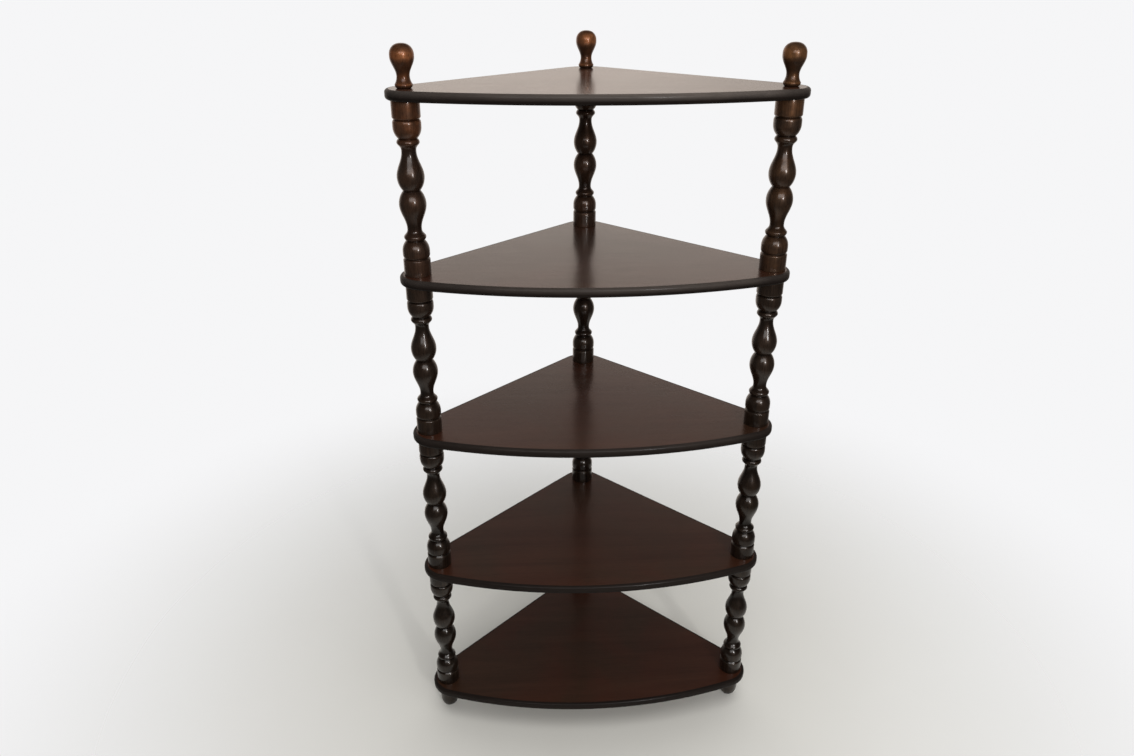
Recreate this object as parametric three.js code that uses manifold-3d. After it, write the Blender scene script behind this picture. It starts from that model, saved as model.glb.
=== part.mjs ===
// Corner shelf unit in stained wood: five quarter-round shelves clamped between the turnings of three posts.
// Millimetres, +Z up. The front faces -Y, the right-angled corner points to +Y, and the origin lies on the
// floor under the middle of the unit's box.
import * as THREE from "three";
import { mergeVertices } from "three/addons/utils/BufferGeometryUtils.js";
import Module from "manifold-3d";

const wasm = await Module();
wasm.setup();

// Driving dimensions of the whole unit
const shelfCount = 5;
const postSpacing = 556; // between the axes of the two front posts

// Shelf boards. Reaches run from the lines that join the post axes, out to an edge.
const shelf = {
  thickness: 15,
  frontRadius: 865, // of the curved front edge
  frontReach: 84, // at the middle of the curve
  backReach: 36, // to each straight back edge
  cornerRadius: 45,
  edgeRounding: 5,
};

// Turned spindle, the same above and below its waist. Lengths run along the axis, from the end to the waist.
const spindle = {
  length: 260,
  endDiameter: 41.5,
  bandLength: 24, // plain end, up to the groove
  grooveRise: 3.7, // from the band's edge to the bottom of the groove
  grooveDiameter: 36.6,
  shoulderLength: 5.3, // round shoulder from the bottom of the groove to the side of the cup
  cupLength: 5, // plain side of the cup
  domeLength: 16.5, // the cup rounds in to the valley
  domeRounding: 23,
  noseLength: 5.5, // from the valley to the widest point of the bead
  beadDiameter: 33.6,
  coveLength: 12.7, // hollow between the bead and the neck
  coveDelay: 1.6, // above 1, the neck stays slim for longer before it flares to the bead
  neckDiameter: 21.9,
  vaseLength: 36.8, // from the neck to the widest point of the belly
  bellyDiameter: 40.8,
  bellyRounding: 32, // of the stretch between the belly and the waist
};

// Ball finial, heights above the top shelf
const finial = {
  height: 60,
  undercutDiameter: 15,
  undercutHeight: 3.5,
  ringDiameter: 25.6,
  ringHeight: 5.2, // of the widest point
  flareDiameter: 24.4, // where the stem springs from the ring
  flareHeight: 6.2,
  waistDiameter: 18.6,
  waistHeight: 16.5,
  ballDiameter: 34.5,
  ballFootHeight: 42, // the ball keeps its full width from here to its crown
  crownFootHeight: 44.8,
  crownRise: 16.1, // the crown would be this high if its top weren't cut flat
};

// Bun foot, heights above the floor
const foot = {
  height: 48,
  topDiameter: 31,
  bulgeDiameter: 34,
  bulgeHeight: 20, // of the widest point
  baseDiameter: 16,
};

// Threaded studs that join the turnings through the shelves
const stud = {
  diameter: 8,
  reach: 24, // into the turning on each side of a shelf
  endChamfer: 1,
};

// Clearances
const seatGap = 0.02; // between a turning's end and the board that it stands on or carries
const boreClearance = 0.3; // round a stud
const boreEndClearance = 1; // past a stud's end
const cutOverrun = 5; // of a cutting tool past the board

// Facets
const turningSides = 12;
const studSides = 12;
const cornerStep = THREE.MathUtils.degToRad(15);
const frontSteps = 16;
const roundingSteps = 2;
const domeSteps = 2; // of the cup's dome and shoulder
const coveSteps = 2;
const roundSteps = 3; // of the other small round stretches
const vaseSteps = 4;
const crownSteps = 5;
const footSteps = 4;

const finishes = {
  board: { color: 0x3b2620, roughness: 0.42, metalness: 0 },
  turning: { color: 0x472a1a, roughness: 0.28, metalness: 0 },
  steel: { color: 0x9d9a92, roughness: 0.4, metalness: 1 },
};

const radiusOf = (diameter) => diameter / 2;
const rightAngle = Math.PI / 2;
const boreRadius = radiusOf(stud.diameter) + boreClearance;
const boreDepth = stud.reach + boreEndClearance;
const studLength = shelf.thickness + 2 * (seatGap + stud.reach);
const bayPitch = shelf.thickness + spindle.length + 2 * seatGap;

// The three posts stand at the corners of a right-angled triangle: x and y of each axis from the
// middle of the front pair.
const halfSpacing = postSpacing / 2;
const posts = {
  left: new THREE.Vector2(-halfSpacing, 0),
  right: new THREE.Vector2(halfSpacing, 0),
  back: new THREE.Vector2(0, halfSpacing),
};

// The middle of the curved front, seen from the middle of the front pair.
const frontCentre = new THREE.Vector2(0, shelf.frontRadius - shelf.frontReach);

// Each corner of a board is an arc that touches both of its edges. Along the line of centres that a straight
// back edge allows, x and y have one sum.
const sumAtBackEdge = halfSpacing + Math.SQRT2 * (shelf.backReach - shelf.cornerRadius);
const backCorner = new THREE.Vector2(0, sumAtBackEdge);
const rightCorner = frontCorner();
const leftCorner = new THREE.Vector2(-rightCorner.x, rightCorner.y);

// The right front corner's centre also lies one corner radius inside the curved front.
function frontCorner() {
  const drop = frontCentre.y - sumAtBackEdge;
  const reach = shelf.frontRadius - shelf.cornerRadius;
  const x = (Math.sqrt(2 * reach ** 2 - drop ** 2) - drop) / 2;
  return new THREE.Vector2(x, sumAtBackEdge - x);
}

// A point at an angle on an arc about a centre.
function onArc(centre, radius, angle) {
  return new THREE.Vector2(centre.x + radius * Math.cos(angle), centre.y + radius * Math.sin(angle));
}

// Points along an arc, without its last point.
function arc(centre, radius, from, to, steps) {
  const at = (i) => onArc(centre, radius, from + ((to - from) * i) / steps);
  return Array.from({ length: steps }, (_, i) => at(i));
}

// A rounded corner, with a point where it reaches farthest out, so that the board keeps its full size.
function corner(centre, from, outermost, to) {
  const stretch = (start, end) => {
    const steps = Math.max(1, Math.round(Math.abs(end - start) / cornerStep));
    return arc(centre, shelf.cornerRadius, start, end, steps);
  };
  return [...stretch(from, outermost), ...stretch(outermost, to), onArc(centre, shelf.cornerRadius, to)];
}

// Shelf outline, anticlockwise from the right corner: three corners, two straight back edges and the front arc.
function shelfOutline() {
  // How far below the level the curved front faces where it meets a corner
  const lean = Math.atan2(frontCentre.y - rightCorner.y, rightCorner.x);
  const backEdge = rightAngle / 2; // direction that the right-hand back edge faces
  return [
    ...corner(rightCorner, -lean, 0, backEdge),
    ...corner(backCorner, backEdge, rightAngle, Math.PI - backEdge),
    ...corner(leftCorner, Math.PI - backEdge, Math.PI, Math.PI + lean),
    ...arc(frontCentre, shelf.frontRadius, Math.PI + lean, 2 * Math.PI - lean, frontSteps).slice(1),
  ];
}

// A closed geometry as a solid that can be cut.
function solidOf(geometry) {
  const bare = geometry.clone().deleteAttribute("normal").deleteAttribute("uv");
  const merged = mergeVertices(bare);
  return new wasm.Manifold(
    new wasm.Mesh({
      numProp: merged.attributes.position.itemSize,
      vertProperties: merged.attributes.position.array,
      triVerts: new Uint32Array(merged.index.array),
    }),
  );
}

// A cut solid as a geometry with flat faces.
function geometryOf(solid) {
  const mesh = solid.getMesh();
  const indexed = new THREE.BufferGeometry();
  indexed.setAttribute("position", new THREE.BufferAttribute(mesh.vertProperties, mesh.numProp));
  indexed.setIndex(new THREE.BufferAttribute(mesh.triVerts, 1));
  const geometry = indexed.toNonIndexed();
  geometry.computeVertexNormals();
  return geometry;
}

// Board with rounded edges and a hole for a stud near each corner. Its underside lies at z = 0.
function shelfGeometry() {
  const board = new THREE.ExtrudeGeometry(new THREE.Shape(shelfOutline()), {
    depth: shelf.thickness - 2 * shelf.edgeRounding,
    bevelThickness: shelf.edgeRounding,
    bevelSize: shelf.edgeRounding,
    bevelOffset: -shelf.edgeRounding,
    bevelSegments: roundingSteps,
  });
  board.translate(0, 0, shelf.edgeRounding);
  const holes = Object.values(posts).map((post) => {
    const drill = new THREE.CylinderGeometry(
      boreRadius,
      boreRadius,
      shelf.thickness + 2 * cutOverrun,
      studSides,
    );
    drill.rotateX(rightAngle);
    drill.translate(post.x, post.y, shelf.thickness / 2);
    return solidOf(drill);
  });
  return geometryOf(holes.reduce((rest, hole) => rest.subtract(hole), solidOf(board)));
}

// Solid of revolution about Z through points of radius and height that start and end on the axis.
function turned(profile, sides) {
  return new THREE.LatheGeometry(profile, sides).rotateX(rightAngle);
}

// Points of a curve given by a formula of t, from just after its start to its end.
function curve(steps, at) {
  return Array.from({ length: steps }, (_, i) => at((i + 1) / steps));
}

// Quarter ellipse that leaves the start square to the axis and arrives along it.
function roundOut(from, to, steps) {
  return curve(steps, (t) => {
    const angle = t * rightAngle;
    return new THREE.Vector2(
      THREE.MathUtils.lerp(from.x, to.x, Math.sin(angle)),
      THREE.MathUtils.lerp(from.y, to.y, 1 - Math.cos(angle)),
    );
  });
}

// Quarter ellipse that leaves the start along the axis and arrives square to it.
function roundIn(from, to, steps) {
  return curve(steps, (t) => {
    const angle = t * rightAngle;
    return new THREE.Vector2(
      THREE.MathUtils.lerp(from.x, to.x, 1 - Math.cos(angle)),
      THREE.MathUtils.lerp(from.y, to.y, Math.sin(angle)),
    );
  });
}

// Double curve that leaves the start and arrives along the axis. A delay above 1 brings the change in
// radius nearer to the end.
function swell(from, to, steps, delay = 1) {
  return curve(steps, (t) => {
    const share = (1 - Math.cos(t ** delay * Math.PI)) / 2;
    return new THREE.Vector2(
      THREE.MathUtils.lerp(from.x, to.x, share),
      THREE.MathUtils.lerp(from.y, to.y, t),
    );
  });
}

// Point at a height on a round stretch of one radius that is widest at a given point.
function onBow(widest, rounding, height) {
  const fall = rounding - Math.sqrt(rounding ** 2 - (height - widest.y) ** 2);
  return new THREE.Vector2(widest.x - fall, height);
}

// Such a stretch, from just past one point on it up to its widest point.
function bow(from, widest, rounding, steps) {
  return curve(steps, (t) => onBow(widest, rounding, THREE.MathUtils.lerp(from.y, widest.y, t)));
}

// Outside of half a spindle, from the waist at height 0 to the end's rim.
function halfSpindleOutside() {
  const point = (diameter, height) => new THREE.Vector2(radiusOf(diameter), height);
  const rim = point(spindle.endDiameter, spindle.length / 2);
  const bandFoot = point(spindle.endDiameter, rim.y - spindle.bandLength);
  const groove = point(spindle.grooveDiameter, bandFoot.y - spindle.grooveRise);
  const shoulder = point(spindle.endDiameter, groove.y - spindle.shoulderLength);
  const cup = point(spindle.endDiameter, shoulder.y - spindle.cupLength);
  const valley = onBow(cup, spindle.domeRounding, cup.y - spindle.domeLength);
  const nose = point(spindle.beadDiameter, valley.y - spindle.noseLength);
  const neck = point(spindle.neckDiameter, nose.y - spindle.coveLength);
  const belly = point(spindle.bellyDiameter, neck.y - spindle.vaseLength);
  const waist = onBow(belly, spindle.bellyRounding, 0);
  return [
    waist,
    ...bow(waist, belly, spindle.bellyRounding, roundSteps),
    ...swell(belly, neck, vaseSteps),
    ...swell(neck, nose, coveSteps, spindle.coveDelay),
    valley,
    ...bow(valley, cup, spindle.domeRounding, domeSteps),
    shoulder,
    ...roundIn(shoulder, groove, domeSteps),
    bandFoot,
    rim,
  ];
}

// Spindle centred on z = 0, with a blind bore for a stud in each end.
function spindleGeometry() {
  const end = spindle.length / 2;
  const half = [
    ...halfSpindleOutside(),
    new THREE.Vector2(boreRadius, end),
    new THREE.Vector2(boreRadius, end - boreDepth),
    new THREE.Vector2(0, end - boreDepth),
  ];
  const below = half.slice(1).map((point) => new THREE.Vector2(point.x, -point.y)).reverse();
  return turned([...below, ...half], turningSides);
}

// Trumpet-shaped stem of the finial, from just past the ring to the waist.
function stem(flare, waist, steps) {
  return curve(steps, (t) => {
    const height = THREE.MathUtils.lerp(flare.y, waist.y, t);
    return new THREE.Vector2(waist.x + (flare.x - waist.x) * (1 - t) ** 2, height);
  });
}

// Crown of the ball, an ellipse cut flat at the finial's height.
function crown(foot, steps) {
  const cut = Math.asin((finial.height - foot.y) / finial.crownRise);
  return curve(steps, (t) => {
    const angle = t * cut;
    return new THREE.Vector2(foot.x * Math.cos(angle), foot.y + finial.crownRise * Math.sin(angle));
  });
}

// Finial that stands on z = 0, with a blind bore in its base.
function finialGeometry() {
  const point = (diameter, height) => new THREE.Vector2(radiusOf(diameter), height);
  const flare = point(finial.flareDiameter, finial.flareHeight);
  const waist = point(finial.waistDiameter, finial.waistHeight);
  const ballFoot = point(finial.ballDiameter, finial.ballFootHeight);
  const crownFoot = point(finial.ballDiameter, finial.crownFootHeight);
  const profile = [
    new THREE.Vector2(0, boreDepth),
    new THREE.Vector2(boreRadius, boreDepth),
    new THREE.Vector2(boreRadius, 0),
    point(finial.undercutDiameter, 0),
    point(finial.undercutDiameter, finial.undercutHeight),
    point(finial.ringDiameter, finial.ringHeight),
    flare,
    ...stem(flare, waist, roundSteps),
    ...swell(waist, ballFoot, vaseSteps),
    crownFoot,
    ...crown(crownFoot, crownSteps),
    new THREE.Vector2(0, finial.height),
  ];
  return turned(profile, turningSides);
}

// Bun foot that stands on z = 0, with a blind bore in its top.
function footGeometry() {
  const base = new THREE.Vector2(radiusOf(foot.baseDiameter), 0);
  const bulge = new THREE.Vector2(radiusOf(foot.bulgeDiameter), foot.bulgeHeight);
  const top = new THREE.Vector2(radiusOf(foot.topDiameter), foot.height);
  const profile = [
    new THREE.Vector2(0, 0),
    base,
    ...roundOut(base, bulge, footSteps),
    ...roundIn(bulge, top, roundSteps),
    new THREE.Vector2(boreRadius, foot.height),
    new THREE.Vector2(boreRadius, foot.height - boreDepth),
    new THREE.Vector2(0, foot.height - boreDepth),
  ];
  return turned(profile, turningSides);
}

// Stud centred on z = 0, with chamfered ends.
function studGeometry() {
  const radius = radiusOf(stud.diameter);
  const end = studLength / 2;
  const half = [
    new THREE.Vector2(radius, end - stud.endChamfer),
    new THREE.Vector2(radius - stud.endChamfer, end),
    new THREE.Vector2(0, end),
  ];
  const below = half.map((point) => new THREE.Vector2(point.x, -point.y)).reverse();
  return turned([...below, ...half], studSides);
}

// A named piece in a group, with a material of its own, at a height.
function addPiece(group, name, geometry, finish, height) {
  const piece = new THREE.Mesh(geometry, new THREE.MeshStandardMaterial(finish));
  piece.name = name;
  piece.position.z = height;
  group.add(piece);
}

// Height of the underside of a shelf, counted from 1 at the top.
function shelfFoot(number) {
  return foot.height + seatGap + (shelfCount - number) * bayPitch;
}

// One post: a foot, a stud through every shelf, a spindle in every bay and a finial.
function postGroup(side) {
  const post = new THREE.Group();
  const spindleFoot = (bay) => shelfFoot(bay + 1) + shelf.thickness + seatGap;
  post.position.set(posts[side].x, posts[side].y, 0);
  addPiece(post, `${side}_foot`, footGeometry(), finishes.turning, 0);
  for (let number = 1; number <= shelfCount; number += 1) {
    const middle = shelfFoot(number) + shelf.thickness / 2;
    addPiece(post, `${side}_stud_${number}`, studGeometry(), finishes.steel, middle);
  }
  for (let bay = 1; bay < shelfCount; bay += 1) {
    const middle = spindleFoot(bay) + spindle.length / 2;
    addPiece(post, `${side}_spindle_${bay}`, spindleGeometry(), finishes.turning, middle);
  }
  const finialFoot = shelfFoot(1) + shelf.thickness + seatGap;
  addPiece(post, `${side}_finial`, finialGeometry(), finishes.turning, finialFoot);
  return post;
}

// The whole unit, moved so that the middle of its box is over the origin.
function cornerShelfUnit() {
  const unit = new THREE.Group();
  const frame = new THREE.Group();
  frame.position.y = (shelf.frontReach - backCorner.y - shelf.cornerRadius) / 2;
  for (let number = 1; number <= shelfCount; number += 1) {
    addPiece(frame, `shelf_${number}`, shelfGeometry(), finishes.board, shelfFoot(number));
  }
  Object.keys(posts).forEach((side) => frame.add(postGroup(side)));
  unit.add(frame);
  return unit;
}

export default cornerShelfUnit();
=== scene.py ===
# %% [markdown]
# This scene dresses a corner shelf unit: five quarter-round boards of dark stained wood, clamped between the
# turned spindles of three posts, with a ball finial on top of each post and a bun foot under it.
# The CAD step settled where everything stands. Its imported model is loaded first, and every visible piece is
# made around it in metres, in the same frame: +Z is up and the curved front faces -Y.

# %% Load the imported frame
import math

import bpy
from mathutils import Euler, Matrix, Vector
from mathutils.kdtree import KDTree


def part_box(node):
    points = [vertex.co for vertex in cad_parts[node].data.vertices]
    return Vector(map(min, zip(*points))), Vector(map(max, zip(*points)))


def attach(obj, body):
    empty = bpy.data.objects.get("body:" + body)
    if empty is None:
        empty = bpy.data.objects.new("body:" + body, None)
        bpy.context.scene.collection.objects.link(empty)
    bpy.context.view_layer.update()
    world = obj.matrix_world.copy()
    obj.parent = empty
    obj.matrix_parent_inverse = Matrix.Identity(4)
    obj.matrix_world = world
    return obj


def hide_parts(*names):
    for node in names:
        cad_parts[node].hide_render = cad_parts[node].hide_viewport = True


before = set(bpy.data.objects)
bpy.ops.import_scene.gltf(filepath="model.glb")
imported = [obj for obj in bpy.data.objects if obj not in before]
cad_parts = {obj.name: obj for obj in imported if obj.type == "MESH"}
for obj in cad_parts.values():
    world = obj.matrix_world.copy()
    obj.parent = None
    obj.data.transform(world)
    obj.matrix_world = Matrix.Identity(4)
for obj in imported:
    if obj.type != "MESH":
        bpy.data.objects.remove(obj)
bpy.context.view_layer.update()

# %% [markdown]
# A piece that stands for a CAD node has to stay where the node is. So places are measured on the nodes and
# not typed in again: the axis of each post is the middle of its foot, and each board lies between the lowest
# and the highest point of its CAD board.

# %% Measure where the posts and boards stand
SIDES = ("left", "right", "back")
BOARDS = range(1, 6)
BAYS = range(1, 5)


def middle_of(node):
    low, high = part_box(node)
    return (low + high) / 2


post_axis = {side: middle_of(f"{side}_foot").to_2d() for side in SIDES}
board_bottom = {number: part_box(f"shelf_{number}")[0].z for number in BOARDS}
for side, axis in post_axis.items():
    print(side, "post axis:", [round(v, 4) for v in axis])

# %% [markdown]
# The photograph was taken from just above the top board, a little left of the middle, looking down at the
# unit. The view could be matched by eye in the viewport, but these values were worked out from the slant of
# the posts and the edges of the boards, so that the outlines fall together. In Blender a camera looks along
# its own -Z, so it is first raised by a right angle to look at the horizon, then tipped down and turned.

# %% Place the camera
CAMERA_PLACE = (-0.1132, -1.4020, 1.3115)
LOOKS_DOWN = 0.4397  # radians below the horizon
LOOKS_RIGHT = 0.0517  # radians from +Y towards +X
CAMERA_ROLL = 0.0011
LENS = 27.365  # mm
SENSOR_WIDTH = 36  # mm

bpy.ops.object.select_all(action="DESELECT")
bpy.ops.object.camera_add(location=CAMERA_PLACE)
camera = bpy.context.object
aim = Euler((math.pi / 2 - LOOKS_DOWN, 0, -LOOKS_RIGHT)).to_matrix() @ Matrix.Rotation(CAMERA_ROLL, 3, "Z")
camera.rotation_euler = aim.to_euler()
camera.data.sensor_width = SENSOR_WIDTH
camera.data.lens = LENS
bpy.context.scene.camera = camera
bpy.context.scene.view_settings.view_transform = "Standard"
print("camera lens:", round(camera.data.lens, 2), "mm")

# %% [markdown]
# Materials and the world could be put together by hand in the node editor. In code, a few helpers keep that
# readable. add_node sets a node's options and values and links whatever is given as a socket, and it puts each
# new node to the right of the last, so that the tree can still be read in the node editor. The short ones
# stand for the Math, Map Range, Noise Texture and Mix nodes.

# %% Helpers for node trees
def add_node(tree, kind, inputs=None, **options):
    """Adds a node. Inputs are values or sockets, by name or number."""
    node = tree.nodes.new(kind)
    node.location = (220 * (len(tree.nodes) % 8), -260 * (len(tree.nodes) // 8))
    for name, value in options.items():
        setattr(node, name, value)
    for name, value in (inputs or {}).items():
        if isinstance(value, bpy.types.NodeSocket):
            tree.links.new(value, node.inputs[name])
        else:
            node.inputs[name].default_value = value
    return node


def calc(tree, operation, first, second=0.0, third=0.0, clamp=False):
    """A Math node's result."""
    inputs = {0: first, 1: second, 2: third}
    node = add_node(tree, "ShaderNodeMath", inputs, operation=operation, use_clamp=clamp)
    return node.outputs[0]


def ramp(tree, value, start, end, low=0.0, high=1.0):
    """A smooth Map Range node's result: low up to start, high from end."""
    inputs = {"Value": value, "From Min": start, "From Max": end, "To Min": low, "To Max": high}
    return add_node(tree, "ShaderNodeMapRange", inputs, interpolation_type="SMOOTHSTEP").outputs[0]


def noise(tree, place, scale, detail, distortion=0.0, roughness=0.5):
    """A Noise Texture's value."""
    inputs = {"Vector": place, "Scale": scale, "Detail": detail, "Roughness": roughness, "Distortion": distortion}
    return add_node(tree, "ShaderNodeTexNoise", inputs).outputs["Fac"]


def blend_colours(tree, factor, first, second):
    """A colour Mix node's result."""
    return add_node(tree, "ShaderNodeMix", {0: factor, 6: first, 7: second}, data_type="RGBA").outputs[2]


print("node helpers ready")

# %% [markdown]
# Browns that are nearly black are hard to tell apart as linear values from 0 to 1, which is what nodes work
# with. They are easier to judge as they look on a screen, written as six hex digits. The colour picker of the
# node editor takes both. In code, paint turns the digits into linear values.

# %% Helper for colours
def paint(hex_colour):
    """A colour as it looks on a screen, given as six hex digits, as the linear values that nodes use."""
    parts = [int(hex_colour[i : i + 2], 16) / 255 for i in (0, 2, 4)]
    linear = [p / 12.92 if p <= 0.04045 else ((p + 0.055) / 1.055) ** 2.4 for p in parts]
    return (*linear, 1.0)


print("mid brown in linear light:", [round(v, 3) for v in paint("5a3a2a")])

# %% [markdown]
# Dark varnish mostly shows what it reflects, so the surroundings matter as much as the lamps. This world is
# bright towards the back, which lights up the boards at a glancing angle, and dim towards the front, which
# keeps the turnings dark. An image wrapped round the scene could do this, but a few soft ramps over the
# direction of a ray are plainer and need no file. The camera sees plain white. Glossy rays see a warm glow at
# the back, which gets warmer and then fades with height and is a little weaker to the right. All other rays get
# soft light, stronger from the back than from the front.

# %% Make the world
SEEN_WHITE = (0.92, 0.92, 0.93, 1)
GLOW_LOW = (0.955, 0.845, 0.755, 1)
GLOW_HIGH = (1.0, 0.74, 0.64, 1)
FRONT_LIGHT = 0.12
BACK_LIGHT = 0.95
# Each ramp starts and ends at a value of the ray's direction. The last two values are the levels there.
GLOW_BACKWARDS = (0.35, 0.85, 0.08, 1.0)
GLOW_UPWARDS = (0.25, 0.66, 1.0, 0.05)
GLOW_RIGHTWARDS = (0.07, 0.13, 1.0, 0.74)
WARMING = (0.27, 0.47)
SOFT_BACKWARDS = (-0.2, 0.8, FRONT_LIGHT, BACK_LIGHT)

world = bpy.data.worlds.new("pale_studio")
bpy.context.scene.world = world
world.use_nodes = True
tree = world.node_tree
tree.nodes.clear()
direction = add_node(tree, "ShaderNodeTexCoord").outputs["Generated"]
heading = add_node(tree, "ShaderNodeSeparateXYZ", {0: direction}).outputs
backwards, upwards = ramp(tree, heading["Y"], *GLOW_BACKWARDS), ramp(tree, heading["Z"], *GLOW_UPWARDS)
rightwards = ramp(tree, calc(tree, "SUBTRACT", heading["X"], heading["Z"]), *GLOW_RIGHTWARDS)
glow_level = calc(tree, "MULTIPLY", calc(tree, "MULTIPLY", backwards, upwards), rightwards)
glow_colour = blend_colours(tree, ramp(tree, heading["Z"], *WARMING), GLOW_LOW, GLOW_HIGH)
seen = add_node(tree, "ShaderNodeBackground", {"Color": SEEN_WHITE, "Strength": 1.0})
mirrored = add_node(tree, "ShaderNodeBackground", {"Color": glow_colour, "Strength": glow_level})
soft_level = ramp(tree, heading["Y"], *SOFT_BACKWARDS)
soft = add_node(tree, "ShaderNodeBackground", {"Color": (1, 1, 1, 1), "Strength": soft_level})
ray = add_node(tree, "ShaderNodeLightPath").outputs
plain_view = calc(tree, "MAXIMUM", ray["Is Camera Ray"], ray["Is Transmission Ray"])
lit = add_node(tree, "ShaderNodeMixShader", {0: ray["Is Glossy Ray"], 1: soft.outputs[0], 2: mirrored.outputs[0]})
final = add_node(tree, "ShaderNodeMixShader", {0: plain_view, 1: lit.outputs[0], 2: seen.outputs[0]})
add_node(tree, "ShaderNodeOutputWorld", {"Surface": final.outputs[0]})
print("world nodes:", len(tree.nodes))

# %% [markdown]
# The floor is a plain pale disc, which keeps the shadow of the unit and fades out into the white
# surroundings. A large square floor would show its far edge from some side. A filled circle whose material
# turns see-through with the distance from the middle shows none.

# %% Lay the floor
FLOOR_RADIUS = 1.6
FLOOR_SIDES = 96
FADE_START, FADE_END = 0.10, 0.90  # shares of the radius

bpy.ops.object.select_all(action="DESELECT")
bpy.ops.mesh.primitive_circle_add(vertices=FLOOR_SIDES, radius=FLOOR_RADIUS, fill_type="NGON")
floor = bpy.context.object
floor.name = "studio_floor"
floor_finish = bpy.data.materials.new("pale_floor")
floor_finish.use_nodes = True
tree = floor_finish.node_tree
tree.nodes.clear()
place = add_node(tree, "ShaderNodeTexCoord").outputs["Object"]
distance = add_node(tree, "ShaderNodeVectorMath", {0: place}, operation="LENGTH").outputs["Value"]
fade = ramp(tree, distance, FADE_START * FLOOR_RADIUS, FADE_END * FLOOR_RADIUS)
cloudy = noise(tree, place, scale=2.2, detail=5.0)
floor_colour = blend_colours(tree, cloudy, paint("d8d5cd"), paint("e2e0d9"))
matt = add_node(tree, "ShaderNodeBsdfDiffuse", {"Color": floor_colour})
clear = add_node(tree, "ShaderNodeBsdfTransparent")
fading = add_node(tree, "ShaderNodeMixShader", {0: fade, 1: matt.outputs[0], 2: clear.outputs[0]})
add_node(tree, "ShaderNodeOutputMaterial", {"Surface": fading.outputs[0]})
floor.data.materials.append(floor_finish)
print("floor radius:", FLOOR_RADIUS, "m")

# %% [markdown]
# Three soft lamps finish the studio. A large one overhead lights the finials and the top board and shades
# what stands below a board. It is hidden from glossy rays, because a square of light on every bead would look
# like a studio. The second is wide and low, as a row of windows is, and hangs high up behind the camera, which
# lays a soft highlight on each bead. The third is a small bright gap to the right, which adds a glint. The
# camera sees none of them.

# %% Hang the lamps
LAMPS = (
    # name, place, point that it faces, width, height, watts
    ("overhead", (0.3, -0.8, 3.1), (0.0, 0.0, 0.8), 2.6, 2.6, 38),
    ("window_row", (0.1, -3.0, 2.35), (0.0, 0.0, 0.9), 3.0, 1.1, 36),
    ("window_gap", (1.1, -3.1, 1.6), (0.0, 0.0, 0.9), 0.16, 0.5, 24),
)
for name, place, target, width, height, watts in LAMPS:
    turn = (Vector(target) - Vector(place)).to_track_quat("-Z", "Y").to_euler()
    bpy.ops.object.light_add(type="AREA", location=place, rotation=turn)
    lamp = bpy.context.object
    lamp.name = f"lamp_{name}"
    lamp.data.shape = "RECTANGLE"
    lamp.data.size, lamp.data.size_y = width, height
    lamp.data.energy = watts
    lamp.visible_glossy = name != "overhead"
    lamp.visible_camera = False
    print(lamp.name, watts, "W")

# %% [markdown]
# A turner works from a template, which is half of the outline of the piece. It could be a Bezier curve drawn
# by eye, but the turnings have to keep to their sizes, so here it is a list of points, each a radius and a
# height in millimetres. Five curves give all the shapes of this unit: two quarter rounds, a double curve for
# vase shapes, a parabola for short stems, and a stretch of a round with a set radius for beads and bellies.

# %% Curves of the turner's template
MM = 0.001


def between(start, end, share):
    return start + (end - start) * share


def curve(steps, radius_share, height_share, start, end):
    """Points from just after start up to end. A share says how far the radius or the height has come at t."""
    shares = [(i + 1) / steps for i in range(steps)]
    return [(between(start[0], end[0], radius_share(t)), between(start[1], end[1], height_share(t))) for t in shares]


def quick_start(t):
    return math.sin(t * math.pi / 2)


def slow_start(t):
    return 1 - math.cos(t * math.pi / 2)


def round_out(start, end, steps):
    """Quarter round that leaves start square to the axis and arrives along it."""
    return curve(steps, quick_start, slow_start, start, end)


def round_in(start, end, steps):
    """Quarter round that leaves start along the axis and arrives square to it."""
    return curve(steps, slow_start, quick_start, start, end)


def swell(start, end, steps, delay=1.0):
    """Double curve that leaves and arrives along the axis. A delay above 1 brings the change nearer to the end."""
    return curve(steps, lambda t: (1 - math.cos(math.pi * t**delay)) / 2, lambda t: t, start, end)


def ease_out(start, end, steps):
    """Parabola that arrives along the axis."""
    return curve(steps, lambda t: 1 - (1 - t) ** 2, lambda t: t, start, end)


def bow(widest, rounding, low, high, steps):
    """Part of a round with a given radius about its widest point, from just above low up to high."""
    heights = [between(low, high, (i + 1) / steps) for i in range(steps)]
    return [(widest[0] - rounding + math.sqrt(rounding**2 - (h - widest[1]) ** 2), h) for h in heights]


print("a belly in four steps:", [(round(r, 2), round(h, 2)) for r, h in bow((20.4, 20.5), 32, 0, 20.5, 4)])

# %% [markdown]
# The spindle is the same above and below its waist, so only its upper half is drawn: the belly, a long neck,
# a bead, a cup with a groove, and the plain end that meets a board. Each end has a blind bore for the stud
# that joins the pieces, and its rim is softened by a fraction of a millimetre, as sanding and lacquer do.

# %% Draw the spindle's template
BORE_RADIUS = 4.3  # mm, as are all lengths of a template
BORE_DEPTH = 25.0
RIM = 0.6  # softening of a sharp rim
HALF_SPINDLE = 130.0
FULL_RADIUS = 20.75  # the plain end and the cup
BELLY_ROUNDING = 32.0
BEAD_ROUNDING = 6.5
CUP_ROUNDING = 23.0
NECK_DELAY = 1.6


def soft_rim(radius, height):
    """Rounds the corner from a side that goes up into an end face."""
    below = (radius, height - RIM)
    return [below] + round_in(below, (radius - RIM, height), steps=3)


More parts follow.
